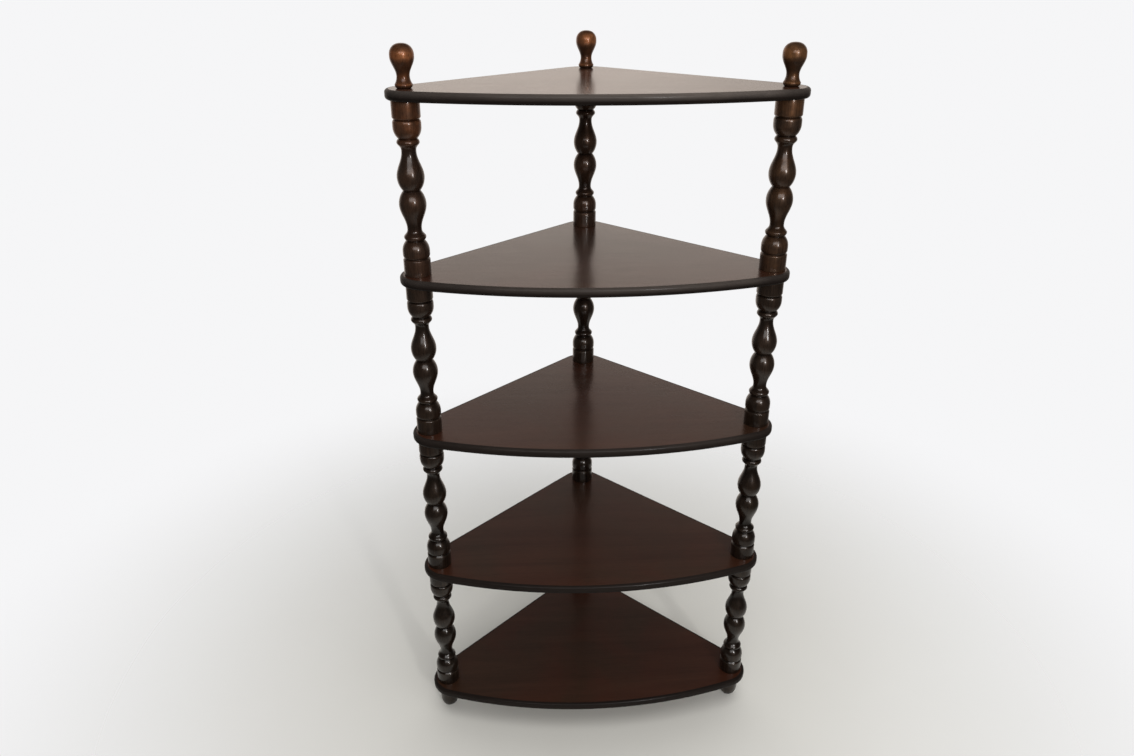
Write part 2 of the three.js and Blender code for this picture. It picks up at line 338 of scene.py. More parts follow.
def spindle_template():
    belly, neck, bead, valley = (20.4, 20.5), (10.95, 57.3), (16.8, 70.0), 75.5
    cup, cup_rim, groove = (FULL_RADIUS, 92.0), (FULL_RADIUS, 97.0), (18.3, 102.3)
    shoulder, plain_end = (20.0, 104.6), (FULL_RADIUS, 106.2)
    on_plain_end = [(FULL_RADIUS, 112.0), (FULL_RADIUS, 120.0)]
    waist = bow(belly, BELLY_ROUNDING, 0.0, 0.0, steps=1)
    half = bow(belly, BELLY_ROUNDING, 0.0, belly[1], steps=16)
    half += swell(belly, neck, steps=18) + swell(neck, bead, steps=12, delay=NECK_DELAY)
    half += bow(bead, BEAD_ROUNDING, bead[1], valley, steps=8) + bow(cup, CUP_ROUNDING, valley, cup[1], steps=14)
    half += [cup_rim] + round_in(cup_rim, groove, steps=8)
    half += [shoulder] + ease_out(shoulder, plain_end, steps=4)
    half += on_plain_end + soft_rim(FULL_RADIUS, HALF_SPINDLE)
    bore_end = HALF_SPINDLE - BORE_DEPTH
    half += [(BORE_RADIUS, HALF_SPINDLE), (BORE_RADIUS, bore_end), (0.0, bore_end)]
    below = [(radius, -height) for radius, height in reversed(half)]
    return below + waist + half


print("spindle template:", len(spindle_template()), "points")

# %% [markdown]
# The finial stands on a ring that is rounded in under itself, so that a dark line shows at the board. Above
# the ring the stem springs in to a waist and swells into the ball. The foot is a plain bun, rounded in to a
# small flat base. Both outlines start and end on the axis, so that each closes into a solid when it is spun.

# %% Draw the templates of the finial and the foot
DOME_RISE = 15.2
DOME_FLATNESS = 0.83  # 1 is an ellipse, and less is flatter on top


def dome(foot, rise, steps):
    """Slightly flattened dome that closes over the axis."""
    radius, height = foot
    angles = [math.pi / 2 * (i + 1) / steps for i in range(steps - 1)]
    side = [(radius * math.cos(a) ** DOME_FLATNESS, height + rise * math.sin(a)) for a in angles]
    return side + [(0.0, height + rise)]


def finial_template():
    base, ring, flare = (8.8, 0.0), (12.8, 5.0), (12.2, 6.2)
    waist, ball_foot, ball = (9.3, 16.5), (17.25, 42.0), (17.25, 44.8)
    outside = [(0.0, BORE_DEPTH), (BORE_RADIUS, BORE_DEPTH), (BORE_RADIUS, 0.0), base]
    outside += round_out(base, ring, steps=9) + round_in(ring, flare, steps=3)
    outside += ease_out(flare, waist, steps=10) + swell(waist, ball_foot, steps=18)
    return outside + [ball] + dome(ball, DOME_RISE, steps=18)


def foot_template():
    base, bulge = (8.0, 0.0), (17.0, 20.0)
    radius, height = 15.5, 48.0  # of the flat top
    rim = (radius, height - RIM)
    outside = [(0.0, 0.0), base] + round_out(base, bulge, steps=14) + round_in(bulge, rim, steps=12)
    outside += round_in(rim, (radius - RIM, height), steps=3)
    bore_end = height - BORE_DEPTH
    return outside + [(BORE_RADIUS, height), (BORE_RADIUS, bore_end), (0.0, bore_end)]


print("finial:", len(finial_template()), "points, foot:", len(foot_template()), "points")

# %% [markdown]
# To draw a template by hand, one would start from a single point and extrude it again and again. A plane
# whose corners are merged gives that first point. These helpers do the same in code, and each extrusion
# leaves its new point selected, ready for the next.

# %% Helpers that draw in edit mode
WELD = 0.000005  # metres, points nearer than this are doubles


def begin_at(name, place):
    """A new mesh in edit mode that is one selected point."""
    bpy.ops.object.select_all(action="DESELECT")
    bpy.ops.mesh.primitive_plane_add(size=0.01, location=place)
    bpy.ops.object.transform_apply(location=True, rotation=True, scale=True)
    piece = bpy.context.object
    piece.name = piece.data.name = name
    bpy.context.tool_settings.mesh_select_mode = (True, False, False)
    bpy.ops.object.mode_set(mode="EDIT")
    bpy.ops.mesh.select_all(action="SELECT")
    bpy.ops.mesh.merge(type="CENTER")
    return piece


def extrude_by(step):
    bpy.ops.mesh.extrude_region_move(TRANSFORM_OT_translate={"value": step})


def close_up():
    """Merges doubled points, turns all faces outwards and leaves edit mode."""
    bpy.ops.mesh.select_all(action="SELECT")
    bpy.ops.mesh.remove_doubles(threshold=WELD)
    bpy.ops.mesh.normals_make_consistent(inside=False)
    bpy.ops.object.mode_set(mode="OBJECT")


print("drawing helpers ready")

# %% [markdown]
# A lathe turns the wood under the tool. The Spin operator does the same with the template: it sweeps the
# line once round the axis in small steps. A Screw modifier could do it too, but Spin leaves plain points at
# once, which the next step can mark. The first and last copy fall together, and so do the points on the axis,
# so doubles are merged afterwards and the faces are turned outwards.

# %% Turn one of each piece
LATHE_STEPS = 56
SMOOTH_ANGLE = math.radians(32)


def turn_on_lathe(name, template):
    """A solid of revolution about the Z axis from a template in millimetres."""
    points = [Vector((radius, 0, height)) * MM for radius, height in template]
    piece = begin_at(name, points[0])
    for start, end in zip(points, points[1:]):
        extrude_by(end - start)
    bpy.ops.mesh.select_all(action="SELECT")
    bpy.ops.mesh.spin(steps=LATHE_STEPS, angle=2 * math.pi, center=(0, 0, 0), axis=(0, 0, 1))
    close_up()
    bpy.ops.object.shade_smooth_by_angle(angle=SMOOTH_ANGLE)
    print(name, "has", len(piece.data.polygons), "faces")
    return piece


templates = {"spindle": spindle_template(), "finial": finial_template(), "foot": foot_template()}
turned = {name: turn_on_lathe(f"master_{name}", template) for name, template in templates.items()}

# %% [markdown]
# Stain and lacquer gather in grooves and necks and are rubbed thin on arrises. Grooves and necks also get
# less light, and their darkening paints that shade as well. The Geometry node's Pointiness could find such
# places, but it changes with the fineness of the mesh. So three attributes on the points of each mesh hold
# them, from 0 to 1: hollow, how deep a point lies below its neighbours, crest, how far it stands out, and slim,
# how much thinner the piece is there than at its widest. All come from the template, because it holds the
# whole shape.

# %% Find hollows and crests on the templates
HOLLOW_REACH = 5.0  # how far to each side a neighbour may be
HOLLOW_DEPTH = 2.6  # a hollow of this depth counts in full
CREST_REACH = 1.4
CREST_HEIGHT = 0.45
SLIM_SHARE = 0.47  # a neck that is thinner by this share counts in full
OUTSIDE = BORE_RADIUS + 0.1  # points nearer to the axis belong to the bore


def value_at(line, height):
    """Value at a height on a line of (value, height) points, such as the radius on a template."""
    for (start, low), (end, high) in zip(line, line[1:]):
        if low <= height <= high:
            return between(start, end, (height - low) / max(high - low, 1e-6))
    return 0.0


def marks_of(template):
    """For each point of a template: how hollow, how much of a crest and how slim it is."""
    outline = [point for point in template if point[0] > OUTSIDE]
    widest = max(radius for radius, _ in outline)
    marks = []
    for radius, height in template:
        lower = max((r for r, h in outline if -HOLLOW_REACH <= h - height <= 0), default=radius)
        upper = max((r for r, h in outline if 0 <= h - height <= HOLLOW_REACH), default=radius)
        hollow = (min(lower, upper) - radius) / HOLLOW_DEPTH
        sides = [value_at(outline, height + step) for step in (-CREST_REACH, CREST_REACH)]
        crest = (radius - sum(sides) / 2) / CREST_HEIGHT
        slim = (widest - radius) / (SLIM_SHARE * widest)
        marks.append(tuple(min(max(mark, 0.0), 1.0) for mark in (hollow, crest, slim)))
    return marks


for name, template in templates.items():
    print(name, "has", sum(hollow > 0.5 for hollow, _, _ in marks_of(template)), "template points in hollows")

# %% [markdown]
# Each point of a spun mesh takes the marks of the template's point that it came from. Spin doesn't say which
# that was, so it is looked up by its distance from the axis and its height. A tree of points finds the nearest
# one faster than comparing it with all.

# %% Write the marks on the turned pieces
def write_attribute(mesh, name, values):
    attribute = mesh.attributes.get(name) or mesh.attributes.new(name, "FLOAT", "POINT")
    attribute.data.foreach_set("value", values)


for name, piece in turned.items():
    outline = KDTree(len(templates[name]))
    for index, (radius, height) in enumerate(templates[name]):
        outline.insert(Vector((radius, 0, height)) * MM, index)
    outline.balance()
    marks = marks_of(templates[name])
    nearest = [outline.find(Vector((vertex.co.xy.length, 0, vertex.co.z)))[1] for vertex in piece.data.vertices]
    for position, label in enumerate(("hollow", "crest", "slim")):
        write_attribute(piece.data, label, [marks[index][position] for index in nearest])
    print(name, "points in hollows:", sum(marks[index][0] > 0.5 for index in nearest))

# %% [markdown]
# The upper ends of the posts have faded step by step to a warmer brown, which leans to olive on the right post.
# The same steps paint light too: the upper bays are lighter because more light falls there, and the lower bays
# keep a painted shade. On a finial, hands have rubbed the ball and spared the neck below it, and the same table
# paints a highlight on the ring's nose and round the ball's widest part, and painted shade under the ball. Such
# marks could be painted on the mesh with a brush. Here they follow from the height alone, so a short table says
# where they change. One attribute will hold them, and another, olive, will tell the posts apart.

# %% Say how faded the posts are, and where light is painted on them
# height in metres where a step starts, height where it ends, and how much fading and painted light it adds
FADING_AND_LIGHT = {
    "left": ((0.35, 0.75, 0.03), (0.86, 0.89, 0.05), (1.07, 1.12, 0.38)),
    "right": ((0.35, 0.75, 0.05), (0.86, 0.89, 0.17), (1.07, 1.10, -0.05), (1.115, 1.125, 0.34)),
    "back": ((0.35, 0.75, 0.03), (0.86, 0.89, 0.08)),
}
OLIVE = {"left": 0.2, "right": 1.0, "back": 0.35}
FINIAL_HEIGHT = 60  # mm
# how faded a finial is, with painted highlights on the ring and the ball and painted shade under the ball,
# and the height above its foot in millimetres
FINIAL_WEAR_AND_LIGHT = (
    (0.25, 0), (0.35, 3.5), (1, 4.8), (1, 5.6), (0.65, 8), (0.7, 15), (0.35, 23), (0.3, 34),
    (0.5, 38), (0.95, 42), (1, 48), (0.85, 52), (0.5, 56), (0.4, FINIAL_HEIGHT),
)


def smooth_share(value, start, end):
    share = min(max((value - start) / (end - start), 0.0), 1.0)
    return share * share * (3 - 2 * share)


def faded_and_lit_at(kind, side, height, place_z):
    if kind == "finial":
        return value_at(FINIAL_WEAR_AND_LIGHT, min(max((height - place_z) / MM, 0), FINIAL_HEIGHT))
    return sum(amount * smooth_share(height, start, end) for start, end, amount in FADING_AND_LIGHT[side])


for side in SIDES:
    print(side, "post is faded under the top board by", round(faded_and_lit_at("spindle", side, board_bottom[1], 0), 2))

# %% [markdown]
# One spindle, one finial and one foot are now copied to their places on the three posts. An Array modifier
# could space them, but each copy needs its own mesh, its own marks and its own angle about the axis, so that no
# two show the same side. Its place is then applied to the mesh, and it stands for the CAD node at that place.

# %% Set the turned pieces on the posts
FIRST_TURN, TURN_STEP = 1.1, 2.4  # radians
POST_TURNS = 5  # steps from one post to the next
FINIAL_TURNS = 7


def set_on_post(kind, side, node, place_z, turns):
    """Copies a turned piece to a post, at a height, turned about its axis by a number of steps."""
    bpy.ops.object.select_all(action="DESELECT")
    master = turned[kind]
    master.select_set(True)
    bpy.context.view_layer.objects.active = master
    bpy.ops.object.duplicate(linked=False)
    piece = bpy.context.object
    piece.name = piece.data.name = f"{node}_turned"
    piece.location = (*post_axis[side], place_z)
    piece.rotation_euler.z = FIRST_TURN + TURN_STEP * turns
    bpy.ops.object.transform_apply(location=True, rotation=True, scale=True)
    heights = [vertex.co.z for vertex in piece.data.vertices]
    # the first attribute holds fading and painted light together
    write_attribute(piece.data, "faded_and_lit", [faded_and_lit_at(kind, side, height, place_z) for height in heights])
    write_attribute(piece.data, "olive", [OLIVE[side]] * len(heights))
    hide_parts(node)
    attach(piece, "root")
    return piece


turned_pieces = []
for number, side in enumerate(SIDES):
    foot_low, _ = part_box(f"{side}_foot")
    turned_pieces.append(set_on_post("foot", side, f"{side}_foot", foot_low.z, number))
    for bay in BAYS:
        node = f"{side}_spindle_{bay}"
        turns = bay + POST_TURNS * number
        turned_pieces.append(set_on_post("spindle", side, node, middle_of(node).z, turns))
    finial_low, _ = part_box(f"{side}_finial")
    turned_pieces.append(set_on_post("finial", side, f"{side}_finial", finial_low.z, FINIAL_TURNS + number))
for master in turned.values():
    bpy.data.objects.remove(master)
print("turned pieces on the posts:", len(turned_pieces))

# %% [markdown]
# A board is a panel sawn to a quarter-round outline: two straight back edges at a right angle, a rounded
# corner near each post, and a long curved front that runs into both front corners. The back corner's round
# touches both back edges, and a front one touches a back edge and, from inside, the big round of the front.
# The centres could be found by trial. Worked out, they let all stretches meet without a kink.

# %% Work out the centres of a board's round stretches
BOARD_THICKNESS = 0.015  # metres, as are all lengths of a board
CORNER_ROUNDING = 0.045
FRONT_RADIUS = 0.865
FRONT_REACH = 0.084  # how far the front stands before the line through the front posts
BACK_REACH = 0.036  # how far a back edge stands behind the line through two posts

half_spacing = (post_axis["right"].x - post_axis["left"].x) / 2
front_line = post_axis["right"].y
front_centre = Vector((0, front_line - FRONT_REACH + FRONT_RADIUS))
# A front corner's centre lies on a line beside the back edge, at a distance of reach from the front's centre
inward = half_spacing + math.sqrt(2) * (BACK_REACH - CORNER_ROUNDING)
drop = front_centre.y - front_line - inward
reach = FRONT_RADIUS - CORNER_ROUNDING
corner_x = (math.sqrt(2 * reach**2 - drop**2) - drop) / 2
corners = {
    "right": Vector((corner_x, front_line + inward - corner_x)),
    "back": Vector((0, front_line + inward)),
    "left": Vector((-corner_x, front_line + inward - corner_x)),
}
lean = math.atan2(front_centre.y - corners["right"].y, corner_x)
for side, corner in corners.items():
    print(side, "corner is rounded about:", [round(v, 4) for v in corner])

# %% [markdown]
# The outline is drawn as by hand, from a single point: Spin draws each round stretch about its centre and an
# extrusion each straight one. A circle cut down with Bisect would do for a plain quarter round, but it would
# leave sharp corners.

# %% Draw the outline of a board
CORNER_STEP = math.radians(3)
FRONT_STEPS = 72
OUTLINE_WELD = 0.00001


def on_round(centre, radius, angle):
    return Vector((centre.x + radius * math.cos(angle), centre.y + radius * math.sin(angle), 0))


def sweep(centre, angle, steps):
    """Spins the selected point about a centre, anticlockwise seen from above. Spin itself goes the other way."""
    bpy.ops.mesh.spin(steps=steps, angle=-angle, center=(centre.x, centre.y, 0), axis=(0, 0, 1))


def draw_outline():
    """The outline on the floor, anticlockwise from where the front curve meets the right corner."""
    diagonal = math.pi / 4
    stretches = (("right", -lean, diagonal), ("back", diagonal, 3 * diagonal), ("left", 3 * diagonal, math.pi + lean))
    board = begin_at("master_board", on_round(corners["right"], CORNER_ROUNDING, -lean))
    last = None
    for side, start, end in stretches:
        if last is not None:
            extrude_by(on_round(corners[side], CORNER_ROUNDING, start) - last)
        sweep(corners[side], end - start, round((end - start) / CORNER_STEP))
        last = on_round(corners[side], CORNER_ROUNDING, end)
    sweep(front_centre, math.pi - 2 * lean, FRONT_STEPS)
    bpy.ops.mesh.select_all(action="SELECT")
    bpy.ops.mesh.remove_doubles(threshold=OUTLINE_WELD)
    return board


board = draw_outline()
bpy.ops.object.mode_set(mode="OBJECT")
print("outline points:", len(board.data.vertices), "size:", [round(v, 4) for v in board.dimensions])

# %% [markdown]
# The outline is filled and extruded to the thickness of the board. The edges of both rims are then rounded,
# as a router does. A Bevel modifier could do that, but the operator leaves faces that can be selected at once
# for the next step. This is a narrow inset round each flat face. It keeps the soft shading of the rim from
# spreading over the flat, and it marks where the veneer ends and the dark painted edge begins.

# %% Thicken the board and round its edge
EDGE_ROUNDING = 0.005
EDGE_STEPS = 6
PAINT_LINE = 0.0012  # how far the edge colour runs over the flat
LEVEL = 0.9  # a face whose normal has this much Z or more is a top or an underside
FLAT_AREA = 0.01  # square metres, more than any face of the edge has


def select_faces(piece, wanted):
    """Selects the faces that wanted(face) is true for, and goes into edit mode."""
    bpy.ops.object.mode_set(mode="OBJECT")
    for part in (*piece.data.vertices, *piece.data.edges, *piece.data.polygons):
        part.select = False
    for face in piece.data.polygons:
        face.select = wanted(face)
    bpy.context.tool_settings.mesh_select_mode = (False, False, True)
    bpy.ops.object.mode_set(mode="EDIT")


bpy.ops.object.mode_set(mode="EDIT")
bpy.ops.mesh.select_all(action="SELECT")
bpy.ops.mesh.edge_face_add()
bpy.ops.mesh.extrude_region_move(TRANSFORM_OT_translate={"value": (0, 0, BOARD_THICKNESS)})
bpy.ops.mesh.select_all(action="SELECT")
bpy.ops.mesh.normals_make_consistent(inside=False)
select_faces(board, lambda face: abs(face.normal.z) > LEVEL)
bpy.ops.mesh.region_to_loop()
bpy.ops.mesh.bevel(offset=EDGE_ROUNDING, segments=EDGE_STEPS, profile=0.5, affect="EDGES", clamp_overlap=False)
select_faces(board, lambda face: face.area > FLAT_AREA)
bpy.ops.mesh.inset(thickness=PAINT_LINE, depth=0)
bpy.ops.object.mode_set(mode="OBJECT")
flat_points = {index for face in board.data.polygons if face.area > FLAT_AREA for index in face.vertices}
print("points round the flats:", len(flat_points), "faces:", len(board.data.polygons))

# %% [markdown]
# Two attributes mark the board's edge for its material. rim is 1 on the rounded edge and 0 on the flats. The
# second is highest on the upper rounding and falls on the way down: dust dulls the dark paint where it faces
# up, and the same mark paints a sheen of light from above on that rounding. Two materials on one board could
# part the edge from the flats as well, but not softly. The marks are kept in a tree of points, because the
# drilling that follows makes new points.

# %% Mark the edge
DUST_AND_SHEEN_HEIGHT = (0.35 * BOARD_THICKNESS, 0.75 * BOARD_THICKNESS)  # none below the first, all above the second

board_marks = KDTree(len(board.data.vertices))
rim_values, dust_and_sheen_values = [], []
for vertex in board.data.vertices:
    board_marks.insert(vertex.co, vertex.index)
    rim_values.append(0.0 if vertex.index in flat_points else 1.0)
    # dust and a painted sheen of light from above on the upper rounding
    dust_and_sheen_values.append(smooth_share(vertex.co.z, *DUST_AND_SHEEN_HEIGHT))
board_marks.balance()
print("points on the edge:", round(sum(rim_values)), "of", len(rim_values))

# %% [markdown]
# A stud runs through each board at each post. Its hole is drilled with a cylinder and a Boolean modifier,
# because a round hole cut by hand would need new faces all round it. Each point then takes its marks from the
# nearest old one, and the dust and painted sheen get less towards both ends of the front, which paints the
# edge less lit there.

# %% Drill the stud holes
DRILL_SIDES = 32
# dust and painted sheen fall off towards both ends of the front, where the edge is painted less lit
DUST_AND_SHEEN_LEFT, LEFT_DUST_AND_SHEEN = (-0.3, 0.15), 0.4  # X from which to which the dust grows, and its share at the first
DUST_AND_SHEEN_RIGHT, RIGHT_DUST_AND_SHEEN = (0.22, 0.275), 0.35  # X from which to which it falls, and its share at the second

for side in SIDES:
    bpy.ops.object.select_all(action="DESELECT")
    middle = (*post_axis[side], BOARD_THICKNESS / 2)
    bpy.ops.mesh.primitive_cylinder_add(
        vertices=DRILL_SIDES, radius=BORE_RADIUS * MM, depth=3 * BOARD_THICKNESS, location=middle
    )
    drill = bpy.context.object
    bpy.ops.object.select_all(action="DESELECT")
    board.select_set(True)
    bpy.context.view_layer.objects.active = board
    hole = board.modifiers.new("stud_hole", "BOOLEAN")
    hole.operation = "DIFFERENCE"
    hole.object = drill
    bpy.ops.object.modifier_apply(modifier=hole.name)
    bpy.data.objects.remove(drill)

nearest = [board_marks.find(vertex.co)[1] for vertex in board.data.vertices]
write_attribute(board.data, "rim", [rim_values[index] for index in nearest])
# the edge is painted less lit towards both ends of the front
dust_and_sheen_marks = [
    dust_and_sheen_values[index]
    * between(LEFT_DUST_AND_SHEEN, 1.0, smooth_share(vertex.co.x, *DUST_AND_SHEEN_LEFT))
    * between(1.0, RIGHT_DUST_AND_SHEEN, smooth_share(vertex.co.x, *DUST_AND_SHEEN_RIGHT))
    for index, vertex in zip(nearest, board.data.vertices)
]
bpy.ops.object.shade_smooth_by_angle(angle=SMOOTH_ANGLE)
print("board has", len(board.data.polygons), "faces after drilling")

# %% [markdown]
# The five boards are alike, so each is a copy of the first, lifted to the height of its CAD board. Linked
# copies would share one mesh, but each board needs its own, because the dust and painted sheen differ: the top
# board gets the most, and the lower ones, sheltered and in less light, get less.

# %% Stack the boards
# how much dust and painted sheen of light each board's edge gets
DUST_AND_SHEEN = {1: 1.0, 2: 0.6, 3: 0.2, 4: 0.05, 5: 0.0}

board_pieces = []
for number in BOARDS:
    bpy.ops.object.select_all(action="DESELECT")
    board.select_set(True)
    bpy.context.view_layer.objects.active = board
    bpy.ops.object.duplicate(linked=False)
    piece = bpy.context.object
    piece.name = piece.data.name = f"board_{number}"
    piece.location.z = board_bottom[number]
    bpy.ops.object.transform_apply(location=True, rotation=True, scale=True)
    write_attribute(piece.data, "dust_and_sheen", [DUST_AND_SHEEN[number] * mark for mark in dust_and_sheen_marks])
    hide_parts(f"shelf_{number}")
    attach(piece, "root")
    board_pieces.append(piece)
bpy.data.objects.remove(board)
print("boards:", [piece.name for piece in board_pieces])

# %% [markdown]
# Wood grain shows on the boards and the turnings alike, so it is a node group with named sockets. An image of
# veneer could give it, but it would repeat, and each piece would need a UV map. Noise that is stretched along
# the grain needs neither. The group takes a place whose Z runs along the grain. Broad soft bands are the
# figure, fine streaks are the fibres, and short dark dashes are the open pores.

# %% Make the grain group
def new_group(name, inputs, outputs):
    """A node group, the sockets that give its inputs and the sockets that take its outputs."""
    group = bpy.data.node_groups.new(name, "ShaderNodeTree")
    for label, kind, value in inputs:
        socket = group.interface.new_socket(name=label, in_out="INPUT", socket_type=f"NodeSocket{kind}")
        if value is not None:
            socket.default_value = value
    for label, kind in outputs:
        group.interface.new_socket(name=label, in_out="OUTPUT", socket_type=f"NodeSocket{kind}")
    return group, group.nodes.new("NodeGroupInput").outputs, group.nodes.new("NodeGroupOutput").inputs


def stretched_noise(tree, place, along, scale, detail, distortion=0.0):
    """Noise whose features are 1 / along times as long in Z as they are wide."""
    squeezed = add_node(tree, "ShaderNodeVectorMath", {0: place, 1: (1, 1, along)}, operation="MULTIPLY").outputs[0]
    return noise(tree, squeezed, scale, detail, distortion, roughness=0.55)


grain_group, taken, given = new_group(
    "wood_grain",
    [("Place", "Vector", None), ("Figure Scale", "Float", 22.0), ("Fibre Scale", "Float", 420.0)],
    [("Figure", "Float"), ("Fibres", "Float"), ("Pores", "Float"), ("Height", "Float")],
)
PORE_FINENESS = 2.4  # times as fine as the fibres
PORE_DEPTH = -0.7

figure = stretched_noise(grain_group, taken["Place"], 0.09, taken["Figure Scale"], detail=4.0, distortion=1.2)
fibres = stretched_noise(grain_group, taken["Place"], 0.03, taken["Fibre Scale"], detail=3.0)
pore_scale = calc(grain_group, "MULTIPLY", taken["Fibre Scale"], PORE_FINENESS)
dashes = stretched_noise(grain_group, taken["Place"], 0.06, pore_scale, detail=1.0)
pores = ramp(grain_group, dashes, 0.58, 0.68)
grain_group.links.new(ramp(grain_group, figure, 0.3, 0.7), given["Figure"])
grain_group.links.new(ramp(grain_group, fibres, 0.3, 0.7), given["Fibres"])
grain_group.links.new(pores, given["Pores"])
grain_group.links.new(calc(grain_group, "MULTIPLY_ADD", pores, PORE_DEPTH, third=fibres), given["Height"])
print("grain group nodes:", len(grain_group.nodes))

# %% [markdown]
# The second shared group is the stain. Real stain is wiped on and off again, so it is never one brown. The
# group mixes three browns by the figure and the fibres, darkens the pores, where stain gathers, and the hollows,
# where stain gathers and where it also paints shade, and lets the lightest brown through in broken patches on
# the crests. The boards leave Hollow and Crest at 0.

# %% Make the stain group
stain_group, taken, given = new_group(
    "rubbed_stain",
    [
        ("Place", "Vector", None),
        ("Deep", "Color", (0, 0, 0, 1)),
        ("Mid", "Color", (0, 0, 0, 1)),
        ("Light", "Color", (0, 0, 0, 1)),
        ("Figure", "Float", 0.5),
        ("Fibres", "Float", 0.5),
        ("Pores", "Float", 0.0),
        ("Hollow", "Float", 0.0),
        ("Crest", "Float", 0.0),
    ],
    [("Color", "Color")],
)
FIBRE_SHARE = 0.35
RUBBED_SHARE = 0.5  # of a full crest
PORE_SHADE = 0.45
HOLLOW_SHADE = 0.8
# stain gathers in the pores and hollows, and in hollows this also paints shade
GATHERED_AND_SHADED_SHARE = 0.3  # of the deepest brown, where stain gathers

patches = ramp(stain_group, noise(stain_group, taken["Place"], scale=75.0, detail=4.0), 0.42, 0.62)
worn = calc(stain_group, "MULTIPLY", calc(stain_group, "MULTIPLY", patches, taken["Crest"]), RUBBED_SHARE)
figured = blend_colours(stain_group, taken["Figure"], taken["Deep"], taken["Mid"])
streaks = calc(stain_group, "MULTIPLY", taken["Fibres"], FIBRE_SHARE)
figured = blend_colours(stain_group, streaks, figured, taken["Light"])
rubbed = blend_colours(stain_group, worn, figured, taken["Light"])
in_pores = calc(stain_group, "MULTIPLY", taken["Pores"], PORE_SHADE)
# hollows are darkened for gathered stain and as painted shade
in_hollows = calc(stain_group, "MULTIPLY", taken["Hollow"], HOLLOW_SHADE)
shade = calc(stain_group, "MAXIMUM", in_pores, in_hollows)
gathered_and_shaded = blend_colours(stain_group, GATHERED_AND_SHADED_SHARE, (0, 0, 0, 1), taken["Deep"])
stain_group.links.new(blend_colours(stain_group, shade, rubbed, gathered_and_shaded), given["Color"])
print("stain group nodes:", len(stain_group.nodes))

# %% [markdown]
# The third shared group is the skin of the lacquer: how rough it is from place to place, where hands have
# dulled or polished it, and the faint ripple that a brushed film dries with. One plain roughness would give
# every highlight the same clean outline, as on moulded plastic.

# %% Make the lacquer group
lacquer_group, taken, given = new_group(
    "lacquer_skin",
    [("Place", "Vector", None), ("Glossy", "Float", 0.25), ("Dull", "Float", 0.4), ("Ripple Scale", "Float", 160.0)],
    [("Roughness", "Float"), ("Height", "Float")],
)
smears = noise(lacquer_group, taken["Place"], scale=14.0, detail=5.0, distortion=0.8)
ripple = noise(lacquer_group, taken["Place"], taken["Ripple Scale"], detail=2.0)
spread = add_node(
    lacquer_group,
    "ShaderNodeMapRange",
    {"Value": smears, "From Min": 0.3, "From Max": 0.7, "To Min": taken["Glossy"], "To Max": taken["Dull"]},
)
lacquer_group.links.new(spread.outputs[0], given["Roughness"])
lacquer_group.links.new(ripple, given["Height"])
print("lacquer group nodes:", len(lacquer_group.nodes))

# %% [markdown]
# Each material starts empty and places the groups with its own values. Four more helpers do that. mix_browns
# gives the stain group its three browns, each mixed from four by three masks. A Color Ramp could hold them, but
# only along one mask.

# %% Helpers for the materials
def new_material(name):
    material = bpy.data.materials.new(name)
    material.use_nodes = True
    material.node_tree.nodes.clear()
    return material, material.node_tree


def place_group(tree, group, inputs):
    return add_node(tree, "ShaderNodeGroup", inputs, node_tree=group).outputs


def attribute(tree, name):
    return add_node(tree, "ShaderNodeAttribute", attribute_name=name).outputs["Fac"]


def mix_browns(tree, browns, pair, in_first, in_second):
    """The stain group's three browns. Two masks mix the two pairs, and pair goes from the first to the second."""
    mixed = {}
    for name, (first, other_first, second, other_second) in browns.items():
        one = blend_colours(tree, in_first, paint(first), paint(other_first))
        two = blend_colours(tree, in_second, paint(second), paint(other_second))
        mixed[name] = blend_colours(tree, pair, one, two)
    return mixed


print("shared groups:", [group.name for group in (grain_group, stain_group, lacquer_group)])

# %% [markdown]
# The turnings are stained almost black-brown and lacquered to a gloss. Their brown gets a little lighter with
# height, which is painted light, and stays darker low down as painted shade. Where they have faded they are a
# warm or an olive brown, with painted light in that too. The grain runs along the post, so the Object
# coordinates are used as they are. Lacquer could be a Glossy shader mixed over the wood, but the coat of the
# Principled shader does the same with less, and gives the small bright highlights. The share of Metallic under
# it stands for the lustre of the wood's fibres, which colours the broad highlight brown.

# %% Make the turned wood material
# low on a post in painted shade, high on a post in painted light, faded with painted light, and faded to olive
TURNED_BROWNS = {
    "Deep": ("1a130f", "241e19", "864c2c", "68432a"),
    "Mid": ("2e241d", "3a2f28", "a2623d", "8b5c39"),
    "Light": ("433428", "4f4036", "b57a52", "a0744b"),
}
# a slim neck is darkened for gathered stain and as painted shade
SLIM_SHADE = 0.7  # a slim neck is as dark as a hollow of this depth
# the stain is lighter higher up as painted light, and darker low down as painted shade
PAINTED_LIGHT_HEIGHTS = (0.3, 0.95)  # heights in metres where the stain starts to get lighter, and where that ends

turned_wood, tree = new_material("turned_wood")
place = add_node(tree, "ShaderNodeTexCoord").outputs["Object"]
grain = place_group(tree, grain_group, {"Place": place, "Figure Scale": 60.0, "Fibre Scale": 520.0})
mottle = ramp(tree, noise(tree, place, scale=48.0, detail=4.0), 0.35, 0.65, low=0.55, high=1.35)
# the faded mark carries fading and painted light together, so the upper bays are lighter as painted light
faded_and_lit = calc(tree, "MULTIPLY", attribute(tree, "faded_and_lit"), mottle, clamp=True)
# painted shade low on the posts, painted light higher up
painted_light_by_height = ramp(tree, add_node(tree, "ShaderNodeSeparateXYZ", {0: place}).outputs["Z"], *PAINTED_LIGHT_HEIGHTS)
